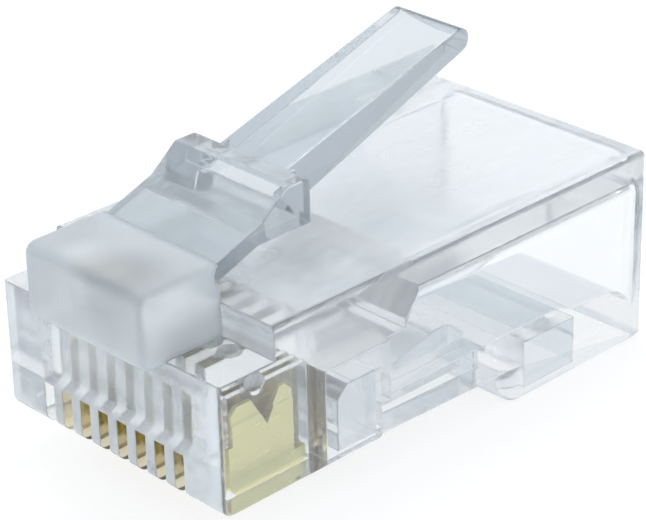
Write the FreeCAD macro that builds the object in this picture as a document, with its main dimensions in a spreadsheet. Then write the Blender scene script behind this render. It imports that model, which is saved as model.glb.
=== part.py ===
import FreeCAD, Part
import math
import os
import re

import Sketcher
from FreeCAD import Vector

# An eight-way modular plug of the RJ45 kind: a clear moulded housing, its press-down latch,
# eight insulation-piercing contacts and the two bars that grip the wires and the cable jacket.
#
# Frame, in millimetres: X across the plug, Y from the nose to the cable end, Z up, with the
# latch on top.  The sizes are written from the nose: Y = 0 is its front face and Z = 0 its
# underside.  Every body is then shifted so that the origin is the middle of the plug's
# footprint, on the surface that the rear block stands on.

SIZES = {
    # outer form of the housing
    "body_width": 11.68,
    "body_height": 6.6,
    "nose_length": 7.75,
    "belly_rise": 0.2,
    "heel_gap": 0.16,
    "rear_length": 8.14,
    "rear_drop": 1.54,
    "shelf_length": 2.6,
    "shelf_drop": 1.33,
    "outer_round": 0.25,
    "cheek_round": 0.15,
    "heel_round": 0.8,
    "nose_round": 0.5,
    # the root block that carries the latch
    "root_width": 6.3,
    "root_overhang": 1.0,
    "root_sink": 0.07,
    "root_rise": 1.5,
    "root_tail": 0.5,
    "root_round": 0.45,
    "root_edge_round": 0.25,
    # contacts, and the slots and wire channels that hold them
    "contact_pitch": 1.016,
    "contact_thick": 0.3,
    "contact_front": 1.25,
    "contact_back": 4.88,
    "contact_proud": 0.1,
    "contact_tip": 3.38,
    "contact_waist": 1.9,
    "contact_neck": 0.2,
    "contact_round": 0.5,
    "front_tooth": 0.98,
    "rear_tooth": 0.58,
    "tooth_bevel": 0.3,
    "coined_height": 2.72,
    "coined_slope": 0.08,
    "coined_thick": 0.18,
    "notch_depth": 1.2,
    "foot_length": 0.53,
    "foot_height": 0.6,
    "slot_side_gap": 0.11,
    "slot_end_gap": 0.07,
    "slot_mouth_height": 1.8,
    "slot_mouth_rise": 0.28,
    "slot_back_wall": 0.35,
    "press_travel": 0.6,
    "press_clearance": 0.02,
    "channel_bore": 0.92,
    "channel_front": 2.1,
    "guide_length": 1.9,
    "guide_lead": 0.9,
    # the cable passage
    "side_wall": 1.3,
    "roof_wall": 1.65,
    "passage_round": 0.5,
    "sill_height": 1.16,
    "ramp_height": 0.85,
    "mouth_height": 0.6,
    "ramp_run": 0.8,
    "mouth_run": 3.7,
    "mouth_flare": 0.3,
    "lip_round": 1.6,
    "core_front_wall": 1.74,
    "core_back_wall": 3.5,
    "core_height": 0.45,
    # the underside opening, and the two bars that go up through it when the plug is crimped
    "trench_wall": 0.75,
    "trench_ceiling": 3.62,
    "web_thick": 0.5,
    "opening_width": 6.8,
    "opening_length": 5.6,
    "bar_gap": 0.15,
    "wire_bar_play": 0.7,
    "wire_bar_length": 1.95,
    "wire_bar_top": 2.6,
    "wire_bar_bevel": 0.5,
    "jacket_bar_length": 4.45,
    "jacket_bar_top": 1.9,
    "jacket_bar_tooth": 0.8,
    "jacket_pivot_radius": 0.4,
    "bar_recess": 0.1,
    # the latch
    "hinge_back": 0.13,
    "hinge_rise": 1.04,
    "knuckle_radius": 0.33,
    "knuckle_gap": 0.03,
    "plate_width": 5.9,
    "plate_slope": 19.6,
    "plate_length": 2.19,
    "ramp_length": 1.18,
    "crown_length": 1.1,
    "latch_gap": 1.37,
    "shoulder_height": 1.75,
    "shoulder_round": 0.2,
    "lever_width": 3.4,
    "lever_length": 9.55,
    "lever_slope": 16.3,
    "lever_tip_thick": 0.92,
    "lever_tip_round": 0.4,
    "lever_gusset": 0.5,
    "gusset_height": 1.2,
    "lever_sink": 0.08,
    # how far a cut runs on past the face that it opens through
    "overrun": 1.0,
}
CONTACTS = 8

# Places along the plug and up it.  Each is a sum of sizes and of other places.
PLACES = {
    "trench_front": "contact_back + slot_end_gap + slot_back_wall",
    "wire_bar_front": "trench_front + wire_bar_play",
    "wire_bar_back": "wire_bar_front + wire_bar_length",
    "web_front": "wire_bar_back + bar_gap",
    "passage_front": "web_front + web_thick",
    "channel_back": "passage_front + guide_length",
    "guide_end": "channel_back - guide_lead",
    "channel_height": "contact_tip + press_travel + press_clearance",
    "opening_end": "passage_front + opening_length",
    "rear_start": "opening_end + heel_gap",
    "body_length": "rear_start + rear_length",
    "ramp_foot": "body_length - mouth_run",
    "sill_end": "ramp_foot - ramp_run",
    "core_front": "rear_start + core_front_wall",
    "core_back": "body_length - core_back_wall",
    "passage_ceiling": "body_height - roof_wall",
    "shelf_height": "body_height - shelf_drop",
    "root_bottom": "shelf_height - root_sink",
    "root_top": "body_height + root_rise",
    "jacket_bar_front": "passage_front + bar_gap",
    "jacket_bar_back": "jacket_bar_front + jacket_bar_length",
    "jacket_bar_low": "belly_rise + bar_recess",
    "contact_heel": "contact_back - foot_length",
    "hinge_place": "shelf_length + hinge_back",
    "hinge_height": "body_height + hinge_rise",
    "ramp_start": "hinge_place + plate_length",
    "crown_front": "ramp_start + ramp_length",
    "shoulder_back": "crown_front + crown_length",
    "latch_bottom": "body_height + latch_gap",
    "shoulder_top": "latch_bottom + shoulder_height",
    "lever_end": "shoulder_back + lever_length",
}

X_AXIS = Vector(1, 0, 0)
Y_AXIS = Vector(0, 1, 0)
Z_AXIS = Vector(0, 0, 1)
NEAR = 1e-3

doc = FreeCAD.newDocument("modular_plug")
sheet = doc.addObject("Spreadsheet::Sheet", "sizes")
for row, (alias, value) in enumerate(SIZES.items(), start=1):
    sheet.set(f"A{row}", alias)
    sheet.set(f"B{row}", str(value))
    sheet.setAlias(f"B{row}", alias)
doc.recompute()


# ---- small tools for sketches and features -------------------------------------------------


def value(text):
    """The number that a sum of sizes and places comes to."""
    total, sign = 0.0, 1
    for word in text.split():
        if word in ("+", "-"):
            sign = 1 if word == "+" else -1
        elif word in PLACES:
            total += sign * value(PLACES[word])
        else:
            total += sign * float(sheet.get(word))
    return total


def bound(text):
    """The expression for text, in which every size and place is read from the sheet."""

    def spelled(word):
        if word[0] in PLACES:
            return f"({bound(PLACES[word[0]])})"
        return "sizes." + word[0] if word[0] in SIZES else word[0]

    return re.sub(r"[a-z_]+", spelled, str(text))


def new_body(label, across="0"):
    """A body for one piece, shifted from the nose's corner to the plug's own origin."""
    body = doc.addObject("PartDesign::Body", label)
    body.Label = label
    body.setExpression("Placement.Base.x", bound(across))
    body.setExpression("Placement.Base.y", bound("-(body_length - root_overhang) / 2"))
    body.setExpression("Placement.Base.z", bound("rear_drop"))
    return body


def origin_feature(body, role):
    """One of the body's own planes or axes."""
    return next(part for part in body.Origin.OriginFeatures if part.Role == role)


def new_sketch(body, name, plane, offset=None):
    """A sketch on one of the body's planes, moved along the plane's normal by offset."""
    sketch = body.newObject("Sketcher::SketchObject", name)
    sketch.AttachmentSupport = [(origin_feature(body, plane), "")]
    sketch.MapMode = "FlatFace"
    if offset is not None:
        sketch.setExpression("AttachmentOffset.Base.z", bound(offset))
    return sketch


def pin_point(sketch, geometry, point, across, up):
    """Holds one point of the sketch at two expressions, measured from the sketch's origin."""
    place = sketch.getPoint(geometry, point)
    for kind, text, value in (("DistanceX", across, place.x), ("DistanceY", up, place.y)):
        index = sketch.addConstraint(Sketcher.Constraint(kind, -1, 1, geometry, point, value))
        sketch.setExpression(f"Constraints[{index}]", bound(text))


def outline(body, name, plane, corners, offset=None):
    """A closed outline of straight sides through corners, each a pair of expressions."""
    sketch = new_sketch(body, name, plane, offset)
    count = len(corners)
    turns = [2 * math.pi * step / count for step in range(count)]
    start = [Vector(math.cos(turn), math.sin(turn), 0) for turn in turns]
    for side in range(count):
        sketch.addGeometry(Part.LineSegment(start[side], start[(side + 1) % count]), False)
    for side in range(count):
        sketch.addConstraint(Sketcher.Constraint("Coincident", side, 2, (side + 1) % count, 1))
    for side, (across, up) in enumerate(corners):
        pin_point(sketch, side, 1, across, up)
    return sketch


def circle(body, name, plane, across, up, radius, offset=None):
    """A circle with its centre and radius held by expressions."""
    sketch = new_sketch(body, name, plane, offset)
    sketch.addGeometry(Part.Circle(Vector(1, 1, 0), Vector(0, 0, 1), 1), False)
    pin_point(sketch, 0, 3, across, up)
    index = sketch.addConstraint(Sketcher.Constraint("Radius", 0, 1))
    sketch.setExpression(f"Constraints[{index}]", bound(radius))
    return sketch


def pad(body, sketch, width):
    """Material to both sides of the sketch's plane."""
    feature = body.newObject("PartDesign::Pad", sketch.Name + "_pad")
    feature.Profile = sketch
    feature.Midplane = True
    feature.setExpression("Length", bound(width))
    sketch.Visibility = False
    doc.recompute()
    return feature


def pocket(body, sketch, width, midplane=True, turned=False):
    """A cut from the sketch; it must take material away."""
    before = body.Shape.Volume
    feature = body.newObject("PartDesign::Pocket", sketch.Name + "_cut")
    feature.Profile = sketch
    feature.Midplane = midplane
    feature.Reversed = turned
    feature.setExpression("Length", bound(width))
    doc.recompute()
    if not body.Shape.Volume < before:
        raise RuntimeError(f"{feature.Name} takes nothing away")
    return feature


def row_of(body, features, copies):
    """The features repeated along X at the contacts' pitch."""
    pattern = body.newObject("PartDesign::LinearPattern", features[-1].Name + "_row")
    pattern.Originals = features
    pattern.Direction = (origin_feature(body, "X_Axis"), [""])
    pattern.setExpression("Length", bound(f"contact_pitch * {copies - 1}"))
    pattern.Occurrences = copies
    body.Tip = pattern
    doc.recompute()
    return pattern


def along(edge, axis):
    """Whether a straight edge runs along the axis."""
    if len(edge.Vertexes) != 2:
        return False
    chord = edge.Vertexes[1].Point - edge.Vertexes[0].Point
    return chord.Length > NEAR and abs(abs(chord.dot(axis)) - edge.Length) < NEAR


def edges_where(body, test):
    """The names of the edges of the body's shape, in its own frame, whose middle passes test."""
    shape = body.Tip.Shape
    names = []
    for number, edge in enumerate(shape.Edges, start=1):
        if edge.Length < NEAR:
            continue
        middle = edge.valueAt((edge.FirstParameter + edge.LastParameter) / 2)
        if test(edge, middle):
            names.append(f"Edge{number}")
    return names


def fillet(body, name, radius, test):
    """Rounds every edge that passes test."""
    names = edges_where(body, test)
    if not names:
        raise RuntimeError(f"{name} finds no edge")
    feature = body.newObject("PartDesign::Fillet", name)
    feature.Base = (body.Tip if body.Tip != feature else feature.BaseFeature, names)
    feature.setExpression("Radius", bound(radius))
    doc.recompute()
    if "Invalid" in feature.State:
        raise RuntimeError(f"{name} can't be rounded")
    return feature


def crossing_edge(back, up):
    """A test for the edges that run across the plug at one place of its side view."""
    return lambda edge, middle: (
        along(edge, X_AXIS) and abs(middle.y - back) < NEAR and abs(middle.z - up) < NEAR
    )


# ---- the housing ---------------------------------------------------------------------------


def side_profile(body):
    """The housing's outer form: nose, belly and the deeper rear block."""
    corners = [
        ("0", "0"),
        ("nose_length", "0"),
        ("nose_length", "belly_rise"),
        ("rear_start", "0"),
        ("rear_start", "-rear_drop"),
        ("body_length", "-rear_drop"),
        ("body_length", "body_height"),
        ("shelf_length", "body_height"),
        ("shelf_length", "shelf_height"),
        ("0", "shelf_height"),
    ]
    pad(body, outline(body, "side", "YZ_Plane", corners), "body_width")


def root_block(body):
    """The thick block over the nose that the latch grows from."""
    corners = [
        ("-root_overhang", "root_bottom"),
        ("shelf_length + root_tail", "root_bottom"),
        ("shelf_length + root_tail", "body_height"),
        ("shelf_length", "body_height"),
        ("shelf_length", "root_top"),
        ("-root_overhang", "root_top"),
    ]
    pad(body, outline(body, "root", "YZ_Plane", corners), "root_width")
    front, top = -value("root_overhang"), value("root_top")
    fillet(body, "root_brow", "root_round", crossing_edge(front, top))
    half = value("root_width") / 2
    fillet(
        body,
        "root_corners",
        "root_edge_round",
        lambda edge, middle: abs(abs(middle.x) - half) < NEAR
        and middle.z > value("body_height") + NEAR
        and middle.y < value("shelf_length") - NEAR
        or crossing_edge(front, value("root_bottom"))(edge, middle),
    )


def outer_rounds(body):
    """The moulding's soft outer corners."""
    half, top = value("body_width") / 2, value("body_height")
    back, bottom = value("body_length"), -value("rear_drop")

    def soft(edge, middle):
        long_edge = abs(abs(middle.x) - half) < NEAR and along(edge, Y_AXIS)
        high_or_low = abs(middle.z - top) < NEAR or abs(middle.z - bottom) < NEAR
        return long_edge and high_or_low or abs(middle.y - back) < NEAR

    def cheek(edge, middle):
        return abs(abs(middle.x) - half) < NEAR and along(edge, Z_AXIS) and abs(middle.y) < NEAR

    fillet(body, "outer_edges", "outer_round", soft)
    fillet(body, "nose_toe", "nose_round", crossing_edge(0, 0))
    fillet(body, "nose_cheeks", "cheek_round", cheek)
    fillet(body, "heel", "heel_round", crossing_edge(value("rear_start"), bottom))


def passage(body):
    """The cable's way in: the mouth with its rolled lip, the ramp, the sill and the chamber."""
    corners = [
        ("passage_front", "sill_height"),
        ("sill_end", "sill_height"),
        ("ramp_foot", "ramp_height"),
        ("body_length", "mouth_height"),
        ("body_length + overrun", "mouth_height"),
        ("body_length + overrun", "passage_ceiling"),
        ("channel_back", "passage_ceiling"),
        ("guide_end", "channel_height"),
        ("guide_end", "trench_ceiling"),
        ("passage_front", "trench_ceiling"),
    ]
    pocket(body, outline(body, "chamber", "YZ_Plane", corners), "body_width - 2 * side_wall")
    half = value("body_width") / 2 - value("side_wall")
    back, low, high = value("body_length"), value("mouth_height"), value("passage_ceiling")
    fillet(body, "mouth_lip", "lip_round", crossing_edge(back, low))
    fillet(
        body,
        "chamber_corners",
        "passage_round",
        lambda edge, middle: along(edge, Y_AXIS)
        and abs(abs(middle.x) - half) < NEAR
        and abs(middle.z - high) < NEAR
        and middle.y > value("channel_back"),
    )
    fillet(
        body,
        "mouth_rim",
        "mouth_flare",
        lambda edge, middle: abs(middle.y - back) < NEAR
        and abs(middle.x) < half + NEAR
        and low < middle.z < high + NEAR,
    )


def underside(body):
    """The trench behind the contacts, the opening under the jacket and the rear block's core."""
    trench = [
        ("trench_front", "-overrun"),
        ("trench_front", "trench_ceiling"),
        ("passage_front", "trench_ceiling"),
        ("passage_front", "sill_height"),
        ("web_front", "sill_height"),
        ("web_front", "-overrun"),
    ]
    pocket(body, outline(body, "trench", "YZ_Plane", trench), "body_width - 2 * trench_wall")
    opening = [
        ("passage_front", "-overrun"),
        ("passage_front", "sill_height + overrun"),
        ("opening_end", "sill_height + overrun"),
        ("opening_end", "-overrun"),
    ]
    pocket(body, outline(body, "opening", "YZ_Plane", opening), "opening_width")
    half = value("opening_width") / 2
    fillet(
        body,
        "opening_corners",
        "passage_round",
        lambda edge, middle: along(edge, Z_AXIS)
        and abs(abs(middle.x) - half) < NEAR
        and abs(middle.y - value("opening_end")) < NEAR,
    )
    core = [
        ("core_front", "-rear_drop - overrun"),
        ("core_front", "core_height"),
        ("core_back", "core_height"),
        ("core_back", "-rear_drop - overrun"),
    ]
    pocket(body, outline(body, "core", "YZ_Plane", core), "body_width - 2 * side_wall")


def contact_slots(body):
    """Eight slots, open below and in front of their lower part, under eight wire channels."""
    first = f"-contact_pitch * {(CONTACTS - 1) / 2}"
    corners = [
        ("-overrun", "-overrun"),
        ("-overrun", "slot_mouth_height"),
        ("0", "slot_mouth_height"),
        ("contact_front - slot_end_gap", "slot_mouth_height + slot_mouth_rise"),
        ("contact_front - slot_end_gap", "channel_height"),
        ("contact_back + slot_end_gap", "channel_height"),
        ("contact_back + slot_end_gap", "-overrun"),
    ]
    slot = outline(body, "slot", "YZ_Plane", corners, first)
    row_of(body, [pocket(body, slot, "contact_thick + 2 * slot_side_gap")], CONTACTS)
    round_end = "channel_front + channel_bore / 2"
    bore = circle(body, "bore", "XZ_Plane", first, "channel_height", "channel_bore / 2", f"-({round_end})")
    cut = pocket(body, bore, f"guide_end - ({round_end}) + overrun", midplane=False)
    ball = body.newObject("PartDesign::SubtractiveSphere", "bore_end")
    for name, place in (("x", first), ("y", round_end), ("z", "channel_height")):
        ball.setExpression(f"Placement.Base.{name}", bound(place))
    ball.setExpression("Radius", bound("channel_bore / 2"))
    doc.recompute()
    row_of(body, [cut, ball], CONTACTS)


def latch_seat(body):
    """The half-round groove across the root's back, in which the latch bends."""
    radius = "knuckle_radius + knuckle_gap"
    seat = circle(body, "seat", "YZ_Plane", "hinge_place", "hinge_height", radius)
    pocket(body, seat, "root_width + overrun")


def make_housing():
    body = new_body("housing")
    side_profile(body)
    outer_rounds(body)
    root_block(body)
    passage(body)
    underside(body)
    contact_slots(body)
    latch_seat(body)
    return body


# ---- the latch -----------------------------------------------------------------------------


def make_latch():
    """Hinge knuckle, sloping plate with its two catching shoulders, and the finger lever."""
    body = new_body("latch")
    tilt = "(plate_slope * 1 deg)"
    knuckle = circle(body, "knuckle", "YZ_Plane", "hinge_place", "hinge_height", "knuckle_radius")
    pad(body, knuckle, "plate_width")
    half_thick = f"knuckle_radius / cos{tilt}"
    plate = [
        (f"hinge_place - knuckle_radius * sin{tilt}", f"hinge_height + knuckle_radius * cos{tilt}"),
        (f"hinge_place + knuckle_radius * sin{tilt}", f"hinge_height - knuckle_radius * cos{tilt}"),
        (f"hinge_place + (latch_bottom - hinge_height + {half_thick}) / tan{tilt}", "latch_bottom"),
        ("shoulder_back", "latch_bottom"),
        ("shoulder_back", "shoulder_top"),
        ("crown_front", "shoulder_top"),
        ("ramp_start", f"hinge_height + {half_thick} + plate_length * tan{tilt}"),
    ]
    pad(body, outline(body, "plate", "YZ_Plane", plate), "plate_width")
    for name, back in (("crown", "crown_front"), ("catch", "shoulder_back")):
        fillet(body, name, "shoulder_round", crossing_edge(value(back), value("shoulder_top")))
    lever_root = "shoulder_top - lever_sink"
    climb = "tan(lever_slope * 1 deg)"
    lever = [
        ("crown_front", "latch_bottom"),
        ("shoulder_back", "latch_bottom"),
        ("lever_end", f"{lever_root} + lever_length * {climb} - lever_tip_thick"),
        ("lever_end", f"{lever_root} + lever_length * {climb}"),
        ("crown_front", f"{lever_root} - crown_length * {climb}"),
    ]
    pad(body, outline(body, "lever", "YZ_Plane", lever), "lever_width")
    end = value("lever_end")
    fillet(
        body,
        "lever_nose",
        "lever_tip_round",
        lambda edge, middle: along(edge, X_AXIS) and abs(middle.y - end) < NEAR,
    )
    gusset = [
        ("-lever_width / 2 - lever_gusset", "shoulder_back - crown_length / 2"),
        ("lever_width / 2 + lever_gusset", "shoulder_back - crown_length / 2"),
        ("lever_width / 2 + lever_gusset", "shoulder_back"),
        ("lever_width / 2", "shoulder_back + lever_gusset"),
        ("-lever_width / 2", "shoulder_back + lever_gusset"),
        ("-lever_width / 2 - lever_gusset", "shoulder_back"),
    ]
    middle = "latch_bottom + shoulder_height / 2"
    pad(body, outline(body, "gusset", "XY_Plane", gusset, middle), "gusset_height")
    return body


# ---- the contacts --------------------------------------------------------------------------


def make_contact(number):
    """A flat blade with two piercing points coined thinner, a waist and a foot at the back."""
    step = number - (CONTACTS - 1) / 2
    body = new_body(f"contact_{number + 1}", f"contact_pitch * {step}")
    neck, middle = "(contact_front + contact_neck)", "contact_tip - notch_depth"
    corners = [
        ("contact_front", "-contact_proud"),
        ("contact_back", "-contact_proud"),
        ("contact_back", "foot_height"),
        ("contact_heel", "foot_height"),
        ("contact_heel", "contact_tip - tooth_bevel"),
        ("contact_heel - tooth_bevel", "contact_tip"),
        ("contact_heel - rear_tooth", "contact_tip"),
        (f"({neck} + front_tooth + contact_heel - rear_tooth) / 2", middle),
        (f"{neck} + front_tooth", "contact_tip"),
        (f"{neck} + tooth_bevel", "contact_tip"),
        (neck, "contact_tip - tooth_bevel"),
        (neck, "contact_waist"),
        ("contact_front", "contact_waist"),
    ]
    pad(body, outline(body, f"blade_{number + 1}", "YZ_Plane", corners), "contact_thick")
    toe = crossing_edge(value("contact_front"), value("- contact_proud"))
    fillet(body, f"blade_toe_{number + 1}", "contact_round", toe)
    for name, side in (("left", "-"), ("right", "")):
        coined = [
            (f"{side}contact_thick / 2", "coined_height"),
            (f"{side}coined_thick / 2", "coined_height + coined_slope"),
            (f"{side}coined_thick / 2", "contact_tip + overrun"),
            (f"{side}(contact_thick / 2 + overrun)", "contact_tip + overrun"),
            (f"{side}(contact_thick / 2 + overrun)", "coined_height"),
        ]
        cheek = outline(body, f"coined_{name}_{number + 1}", "XZ_Plane", coined)
        pocket(body, cheek, "2 * (contact_back + overrun)")
    return body


# ---- the strain-relief bars ----------------------------------------------------------------


def make_wire_bar():
    """The bar that is pressed up against the eight wires, just behind the contacts."""
    body = new_body("wire_clamp_bar")
    corners = [
        ("wire_bar_front", "0"),
        ("wire_bar_back", "0"),
        ("wire_bar_back", "wire_bar_top"),
        ("wire_bar_front + wire_bar_bevel", "wire_bar_top"),
        ("wire_bar_front", "wire_bar_top - wire_bar_bevel"),
    ]
    width = "body_width - 2 * trench_wall - 2 * bar_gap"
    pad(body, outline(body, "wire_bar", "YZ_Plane", corners), width)
    return body


def make_jacket_bar():
    """The wedge that swings up into the cable jacket about its front edge."""
    body = new_body("jacket_clamp_bar")
    width = "opening_width - 2 * bar_gap"
    pivot, height = "jacket_bar_front + jacket_pivot_radius", "jacket_bar_low + jacket_pivot_radius"
    pad(body, circle(body, "pivot", "YZ_Plane", pivot, height, "jacket_pivot_radius"), width)
    corners = [
        (pivot, "jacket_bar_low"),
        ("jacket_bar_back", "jacket_bar_low"),
        ("jacket_bar_back", "jacket_bar_top"),
        ("jacket_bar_back - jacket_bar_tooth", "jacket_bar_top"),
        (pivot, f"{height} + jacket_pivot_radius"),
    ]
    pad(body, outline(body, "wedge", "YZ_Plane", corners), width)
    return body


pieces = [make_housing(), make_latch(), make_wire_bar(), make_jacket_bar()]
pieces += [make_contact(number) for number in range(CONTACTS)]
doc.recompute()

for item in doc.Objects:
    if "Invalid" in item.State or "Error" in item.State:
        raise RuntimeError(f"{item.Name} failed: {item.State}")
for piece in pieces:
    if piece.Shape.isNull() or not piece.Shape.isValid() or len(piece.Shape.Solids) != 1:
        raise RuntimeError(f"{piece.Label} isn't one valid solid")

os.makedirs("parts", exist_ok=True)
for piece in pieces:
    piece.Shape.exportStep(f"parts/{piece.Label}.step")
    box = piece.Shape.BoundBox
    print(f"{piece.Label}: {piece.Shape.Volume:.2f} mm3, z {box.ZMin:.2f} to {box.ZMax:.2f}")
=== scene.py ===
from math import cos, pi, radians, sin

import bpy
from mathutils import Matrix, Vector
from mathutils.bvhtree import BVHTree


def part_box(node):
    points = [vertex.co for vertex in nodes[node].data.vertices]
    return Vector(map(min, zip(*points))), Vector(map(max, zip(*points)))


# A clear modular plug, finished as moulded polycarbonate with gold-coloured contacts.  All sizes
# are in metres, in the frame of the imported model: +Y runs from the nose to the cable end, and Z is up.

MM = 0.001
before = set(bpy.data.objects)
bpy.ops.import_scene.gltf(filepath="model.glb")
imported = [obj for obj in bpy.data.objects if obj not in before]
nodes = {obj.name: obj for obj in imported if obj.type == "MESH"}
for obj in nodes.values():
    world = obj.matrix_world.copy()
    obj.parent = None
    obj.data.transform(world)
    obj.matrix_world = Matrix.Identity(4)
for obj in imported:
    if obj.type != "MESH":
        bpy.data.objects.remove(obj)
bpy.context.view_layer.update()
contacts = [name for name in nodes if name.startswith("contact")]
contacts_right = max(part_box(name)[1].x for name in contacts)
contacts_back = max(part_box(name)[1].y for name in contacts)
contacts_top = max(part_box(name)[1].z for name in contacts)
latch_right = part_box("latch")[1].x
jacket_bar_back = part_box("jacket_clamp_bar")[1].y

# ---- where the housing's finishes and painted shades lie ----
# The latch root: its half width, a little over the latch's, its underside and its back.
ROOT_HALF = latch_right + 0.21 * MM
ROOT_LOW = 6.7 * MM
ROOT_BACK = -8.1 * MM
# The wire channels, just above where the contacts' tips reach when they are pressed in.
CHANNEL_LOW = contacts_top + 0.63 * MM
CHANNEL_TOP = CHANNEL_LOW + 0.925 * MM
CHANNEL_BACK = -0.2 * MM
# The contact slots end a little behind the contacts.
SLOT_BACK = contacts_back + 0.17 * MM
# The rear block's floor, under the cable passage and behind the jacket clamp bar.
SILL_TOP = 3 * MM
# A flat that sees at least this share of the sky is on the outside.
OPEN_SKY = 0.6
# The rays that feel for the sky: each ring's lean from the normal in degrees, and its rays.
SKY_RINGS = ((0, 1), (35, 6), (65, 8))
# A face looks along an axis if its normal has at least this much of it.
FACING = 0.9
# Faces within this distance of one plane are one flat, and rays start this far off their face.
HAIR = 0.01 * MM

# ---- looks ----
CLEAR_IOR = 1.58
CLEAR_TINT = (0.935, 0.96, 0.98)
# Painted shade: the top faces get a darker tint than the rest of the clear plastic.
TOP_PAINTED_SHADE_TINT = (0.87, 0.9, 0.925)
# Painted shade: the front faces and the root get a darker, bluer tint.
FRONT_PAINTED_SHADE_TINT = (0.88, 0.935, 0.97)
# Painted shade: the latch gets a grey tint, and its side edges a darker one still.
LATCH_PAINTED_SHADE_TINT = (0.74, 0.79, 0.825)
LATCH_SIDE_PAINTED_SHADE_TINT = (0.48, 0.53, 0.575)
# Painted shade: the rear block's floor under the cable passage gets a darker tint.
SILL_PAINTED_SHADE_TINT = (0.79, 0.85, 0.895)
# Painted reflection and shade: the slot walls get a brown tint for the gold contacts' reflections.
SLOT_PAINTED_REFLECTION_TINT = (0.74, 0.68, 0.5)
GOLD_TINT = (0.83, 0.77, 0.385)
GOLD_ROUGHNESS = (0.25, 0.4)
GOLD_RELIEF = 0.003 * MM
# Each finish: roughness, haze, tint, and how far its edges look rounded.  Haze is the share of
# light that the plastic scatters.  The tints of the top, front, sill and slot are painted shade,
# and the slots' brown is a painted reflection of the gold.
FINISHES_AND_PAINTED_SHADES = {
    "skin": (0.04, 0.08, CLEAR_TINT, 0.12 * MM),
    "top": (0.08, 0.4, TOP_PAINTED_SHADE_TINT, 0.12 * MM),
    "front": (0.05, 0.38, FRONT_PAINTED_SHADE_TINT, 0.12 * MM),
    "sill": (0.08, 0.1, SILL_PAINTED_SHADE_TINT, 0.15 * MM),
    "channel": (0.45, 0.45, CLEAR_TINT, 0),
    "slot": (0.1, 0.03, SLOT_PAINTED_REFLECTION_TINT, 0.06 * MM),
    "wall": (0.06, 0.04, CLEAR_TINT, 0.08 * MM),
    "hollow": (0.14, 0.08, CLEAR_TINT, 0.1 * MM),
    "bars": (0.05, 0.05, CLEAR_TINT, 0.1 * MM),
}
# Most of the noise lies between these values, and it swings a finish by these shares.
NOISE_SPAN = (0.3, 0.7)
ROUGHNESS_SWING = 0.15
HAZE_SWING = 0.4
# The root: the centre of its clearer core, the core's radius and where the haze is full, the share
# of light that passes unscattered at each, and how unevenly the core ends.
ROOT_CORE = (1.2 * MM, -11.2 * MM, 9.3 * MM)
ROOT_REACH = (1.0 * MM, 2.3 * MM)
ROOT_CLEAR = (0.79, 0.56)
ROOT_WAVER = 0.3 * MM
# The latch: two places along Y, in the bend and on the lever, and the same share at each.
LATCH_REACH = (-8.4 * MM, -2.5 * MM)
LATCH_CLEAR = (0.58, 0.97)

# ---- stage, light and camera ----
CAMERA_PLACE = Vector((63.76, -61.195, 50.38)) * MM
CAMERA_AIM = Vector((0.0, -0.165, 5.73)) * MM
CAMERA_ROLL = radians(-1.39)
CAMERA_LENS = 146.2
CAMERA_FILM = 36
KEY_PLACE = Vector((-0.05, 0.03, 0.16))
KEY_POWER = 0.06
KEY_WIDTH = 0.08
FLOOR_WIDTH = 1.2
# The sheet itself is grey, and its glow makes it white: as it lights the plug, and as it is seen.
FLOOR_GREY = 0.25
FLOOR_GLOW = (0.7, 0.82)
# The surroundings' colour, from straight behind the camera (0) to straight ahead of it (1).
SURROUNDINGS = (
    (0.0, (0.48, 0.53, 0.58)),
    (0.08, (0.64, 0.69, 0.74)),
    (0.18, (0.8, 0.85, 0.9)),
    (0.5, (0.88, 0.92, 0.95)),
    (0.85, (1, 1, 1)),
)
# Light turns many times inside the clear walls before it leaves them.
CLEAR_BOUNCES = 32
DIFFUSE_BOUNCES = 8


# ---- node helpers --------------------------------------------------------------------------


class Tree:
    """The node tree of a material or a world, with short ways to add and join nodes."""

    def __init__(self, owner, shader):
        owner.use_nodes = True
        self.nodes = owner.node_tree.nodes
        self.links = owner.node_tree.links
        self.shader = self.nodes[shader]

    def add(self, kind, **settings):
        node = self.nodes.new(kind)
        for name, value in settings.items():
            setattr(node, name, value)
        return node

    def join(self, source, target):
        self.links.new(source, target)

    def fix(self, name, value):
        """Gives one of the shader's inputs the same value all over."""
        self.shader.inputs[name].default_value = value

    def drive(self, name, source):
        """Joins a node's output to one of the shader's inputs."""
        self.join(source, self.shader.inputs[name])

    def place(self):
        """The shaded point in the object's own frame."""
        return self.add("ShaderNodeTexCoord").outputs["Object"]

    def noise(self, grain, detail=2, stretch=(1, 1, 1)):
        """Noise whose grains are about grain metres across."""
        mapping = self.add("ShaderNodeMapping")
        mapping.inputs["Scale"].default_value = stretch
        self.join(self.place(), mapping.inputs["Vector"])
        node = self.add("ShaderNodeTexNoise")
        node.inputs["Scale"].default_value = 1 / grain
        node.inputs["Detail"].default_value = detail
        self.join(mapping.outputs["Vector"], node.inputs["Vector"])
        return node.outputs["Fac"]

    def spread(self, source, low, high, start=0.0, end=1.0):
        """source, from start to end, as a number from low to high."""
        node = self.add("ShaderNodeMapRange")
        for name, value in (("From Min", start), ("From Max", end), ("To Min", low), ("To Max", high)):
            node.inputs[name].default_value = value
        self.join(source, node.inputs["Value"])
        return node.outputs["Result"]

    def math(self, operation, one, other):
        """The sum, the larger or such like of two outputs."""
        node = self.add("ShaderNodeMath", operation=operation)
        self.join(one, node.inputs[0])
        self.join(other, node.inputs[1])
        return node.outputs["Value"]


# ---- materials -----------------------------------------------------------------------------


def new_material(name):
    """A new material and its node tree."""
    material = bpy.data.materials.new(name)
    return material, Tree(material, "Principled BSDF")


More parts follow.
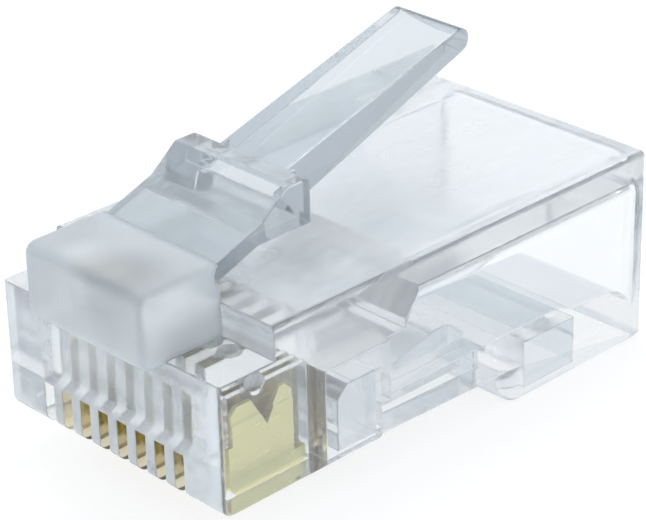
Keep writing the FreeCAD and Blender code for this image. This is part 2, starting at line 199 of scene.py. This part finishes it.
def moulded(name, roughness, tint, edge):
    """Polycarbonate without its haze: a tint, a slightly uneven finish and soft edges."""
    material, tree = new_material(name)
    tree.fix("Base Color", (*tint, 1))
    tree.fix("IOR", CLEAR_IOR)
    least = roughness * (1 - ROUGHNESS_SWING)
    most = roughness * (1 + ROUGHNESS_SWING)
    tree.drive("Roughness", tree.spread(tree.noise(grain=1.5 * MM), least, most, *NOISE_SPAN))
    if edge > 0:
        rounded = tree.add("ShaderNodeBevel", samples=6)
        rounded.inputs["Radius"].default_value = edge
        tree.drive("Normal", rounded.outputs["Normal"])
    return material, tree


def clear_plastic(name, roughness, haze, tint, edge):
    """Polycarbonate with its haze in soft clouds, drawn out along Y."""
    material, tree = moulded(name, roughness, tint, edge)
    clouds = tree.noise(grain=2.5 * MM, stretch=(1, 0.45, 1))
    least = 1 - haze * (1 + HAZE_SWING)
    most = 1 - haze * (1 - HAZE_SWING)
    tree.drive("Transmission Weight", tree.spread(clouds, least, most, *NOISE_SPAN))
    return material


def root_plastic():
    """The thick latch root: milky, with a clearer round core behind its brow."""
    # The root gets the front faces' darker, bluer tint: painted shade.
    material, tree = moulded("clear_root", roughness=0.45, tint=FRONT_PAINTED_SHADE_TINT, edge=0.5 * MM)
    away = tree.add("ShaderNodeVectorMath", operation="DISTANCE")
    away.inputs[1].default_value = ROOT_CORE
    tree.join(tree.place(), away.inputs[0])
    waver = tree.spread(tree.noise(grain=1.2 * MM), -ROOT_WAVER, ROOT_WAVER)
    reach = tree.math("ADD", away.outputs["Value"], waver)
    tree.drive("Transmission Weight", tree.spread(reach, *ROOT_CLEAR, *ROOT_REACH))
    return material


def latch_plastic(name, tint):
    """The latch: hazy where it bends, next to the root, and clear along its lever."""
    material, tree = moulded(name, roughness=0.05, tint=tint, edge=0.1 * MM)
    parts = tree.add("ShaderNodeSeparateXYZ")
    tree.join(tree.place(), parts.inputs[0])
    tree.drive("Transmission Weight", tree.spread(parts.outputs["Y"], *LATCH_CLEAR, *LATCH_REACH))
    return material


def contact_metal():
    """Gold flash over copper alloy, with fine rolling marks along the blade."""
    material, tree = new_material("contact_gold")
    tree.fix("Base Color", (*GOLD_TINT, 1))
    tree.fix("Metallic", 1)
    marks = tree.noise(grain=0.12 * MM, detail=3, stretch=(1, 0.12, 1))
    tree.drive("Roughness", tree.spread(marks, *GOLD_ROUGHNESS, *NOISE_SPAN))
    relief = tree.add("ShaderNodeBump")
    relief.inputs["Strength"].default_value = 1.0
    relief.inputs["Distance"].default_value = GOLD_RELIEF
    tree.join(marks, relief.inputs["Height"])
    tree.drive("Normal", relief.outputs["Normal"])
    return material


# ---- which face gets which material --------------------------------------------------------


def set_materials(mesh, materials):
    mesh.materials.clear()
    for material in materials:
        mesh.materials.append(material)


def openness(solid, place, normal):
    """The share of directions over a surface point in which nothing stands in the way."""
    side = normal.orthogonal().normalized()
    other = normal.cross(side)
    free, total = 0, 0
    for lean, rays in SKY_RINGS:
        for ray in range(rays):
            turn = 2 * pi * ray / rays
            around = side * cos(turn) + other * sin(turn)
            way = normal * cos(radians(lean)) + around * sin(radians(lean))
            free += solid.ray_cast(place + normal * HAIR, way)[0] is None
            total += 1
    return free / total


def finish_and_painted_shade_of(centre, normal, sky):
    """The finish, with any painted shade, of one face of the housing, by where it is, how it faces and
    how open it lies.
    """
    if abs(centre.x) < ROOT_HALF and centre.z > ROOT_LOW and centre.y < ROOT_BACK:
        return "root"
    if centre.y > jacket_bar_back and centre.z < SILL_TOP:
        return "sill"
    if sky > OPEN_SKY:
        if normal.z > FACING:
            return "top"
        return "front" if normal.y < -FACING and centre.y < ROOT_BACK else "skin"
    if centre.y < CHANNEL_BACK and CHANNEL_LOW < centre.z < CHANNEL_TOP:
        return "channel"
    if abs(normal.x) < FACING:
        return "hollow"
    inner = abs(centre.x) < contacts_right and centre.y < SLOT_BACK and centre.z < CHANNEL_LOW
    return "slot" if inner else "wall"


def flats_of(mesh):
    """The mesh's faces, in groups that each lie in one plane."""
    flats = {}
    for face in mesh.polygons:
        height = face.center.dot(face.normal) / HAIR
        key = (*(round(part, 2) for part in face.normal), round(height))
        flats.setdefault(key, []).append(face)
    return flats.values()


def dress_housing(mesh, materials):
    """Gives each face of the housing its finish, some with painted shade; a flat's openness is the mean
    of its faces'.
    """
    set_materials(mesh, materials.values())
    places = {name: index for index, name in enumerate(materials)}
    corners = [vertex.co for vertex in mesh.vertices]
    solid = BVHTree.FromPolygons(corners, [face.vertices[:] for face in mesh.polygons])
    for faces in flats_of(mesh):
        area = sum(face.area for face in faces)
        if area == 0:
            continue
        sky = sum(openness(solid, face.center, face.normal) * face.area for face in faces) / area
        for face in faces:
            face.material_index = places[finish_and_painted_shade_of(face.center, face.normal, sky)]


def dress_latch(mesh):
    """Gives the latch's side edges a darker tint: painted shade along the edges."""
    face_painted_shade = latch_plastic("clear_latch", LATCH_PAINTED_SHADE_TINT)
    side_painted_shade = latch_plastic("clear_latch_side", LATCH_SIDE_PAINTED_SHADE_TINT)
    set_materials(mesh, [face_painted_shade, side_painted_shade])
    for face in mesh.polygons:
        face.material_index = int(abs(face.normal.x) > FACING)


# ---- stage, light and camera ---------------------------------------------------------------


def show(name, data):
    """Puts a new object with this data into the scene."""
    item = bpy.data.objects.new(name, data)
    bpy.context.scene.collection.objects.link(item)
    return item


def floor_material():
    """A white sheet: what looks at it sees white, with the object's soft shadow kept."""
    material, tree = new_material("white_floor")
    tree.fix("Base Color", (FLOOR_GREY, FLOOR_GREY, FLOOR_GREY, 1))
    tree.fix("Roughness", 0.9)
    tree.fix("Specular IOR Level", 0)
    tree.fix("Emission Color", (1, 1, 1, 1))
    path = tree.add("ShaderNodeLightPath").outputs
    seen = path["Is Camera Ray"]
    for other in ("Is Glossy Ray", "Is Transmission Ray"):
        seen = tree.math("MAXIMUM", seen, path[other])
    tree.drive("Emission Strength", tree.spread(seen, *FLOOR_GLOW))
    return material


def set_floor():
    mesh = bpy.data.meshes.new("floor")
    half = FLOOR_WIDTH / 2
    corners = [(-half, -half, 0), (half, -half, 0), (half, half, 0), (-half, half, 0)]
    mesh.from_pydata(corners, [], [(0, 1, 2, 3)])
    mesh.materials.append(floor_material())
    show("floor", mesh)


def set_surroundings():
    """Soft studio surroundings, brightest behind the plug and dimmer behind the camera."""
    world = bpy.data.worlds.new("studio")
    bpy.context.scene.world = world
    tree = Tree(world, "Background")
    ahead = tree.add("ShaderNodeVectorMath", operation="DOT_PRODUCT")
    ahead.inputs[1].default_value = (CAMERA_AIM - CAMERA_PLACE).normalized()
    tree.join(tree.add("ShaderNodeTexCoord").outputs["Generated"], ahead.inputs[0])
    colours = tree.add("ShaderNodeValToRGB")
    tree.join(tree.spread(ahead.outputs["Value"], 0, 1, start=-1, end=1), colours.inputs["Fac"])
    steps = colours.color_ramp.elements
    first, *between, last = SURROUNDINGS
    for step, (position, colour) in ((steps[0], first), (steps[1], last)):
        step.position = position
        step.color = (*colour, 1)
    for position, colour in between:
        steps.new(position).color = (*colour, 1)
    tree.drive("Color", colours.outputs["Color"])


def set_key_light():
    data = bpy.data.lights.new("key", "AREA")
    data.energy = KEY_POWER
    data.size = KEY_WIDTH
    lamp = show("key", data)
    lamp.location = KEY_PLACE
    lamp.rotation_euler = (CAMERA_AIM - KEY_PLACE).to_track_quat("-Z", "Y").to_euler()


def set_camera():
    data = bpy.data.cameras.new("camera")
    data.lens = CAMERA_LENS
    data.sensor_width = CAMERA_FILM
    data.clip_start = 1 * MM
    camera = show("camera", data)
    aim = (CAMERA_AIM - CAMERA_PLACE).to_track_quat("-Z", "Y").to_matrix()
    turn = aim @ Matrix.Rotation(CAMERA_ROLL, 3, "Z")
    camera.matrix_world = Matrix.Translation(CAMERA_PLACE) @ turn.to_4x4()
    bpy.context.scene.camera = camera


def set_light_paths():
    cycles = bpy.context.scene.cycles
    cycles.max_bounces = CLEAR_BOUNCES
    cycles.transmission_bounces = CLEAR_BOUNCES
    cycles.glossy_bounces = CLEAR_BOUNCES
    cycles.transparent_max_bounces = CLEAR_BOUNCES
    cycles.diffuse_bounces = DIFFUSE_BOUNCES


# ---- the plug and its picture --------------------------------------------------------------


plastics = {name: clear_plastic(f"clear_{name}", *look) for name, look in FINISHES_AND_PAINTED_SHADES.items()}
bar_plastic = plastics.pop("bars")
dress_housing(nodes["housing"].data, {**plastics, "root": root_plastic()})
dress_latch(nodes["latch"].data)
for name in ("wire_clamp_bar", "jacket_clamp_bar"):
    set_materials(nodes[name].data, [bar_plastic])
gold = contact_metal()
for name in contacts:
    set_materials(nodes[name].data, [gold])

set_floor()
set_surroundings()
set_key_light()
set_camera()
set_light_paths()
bpy.context.scene.view_settings.view_transform = "Standard"

bpy.context.view_layer.update()
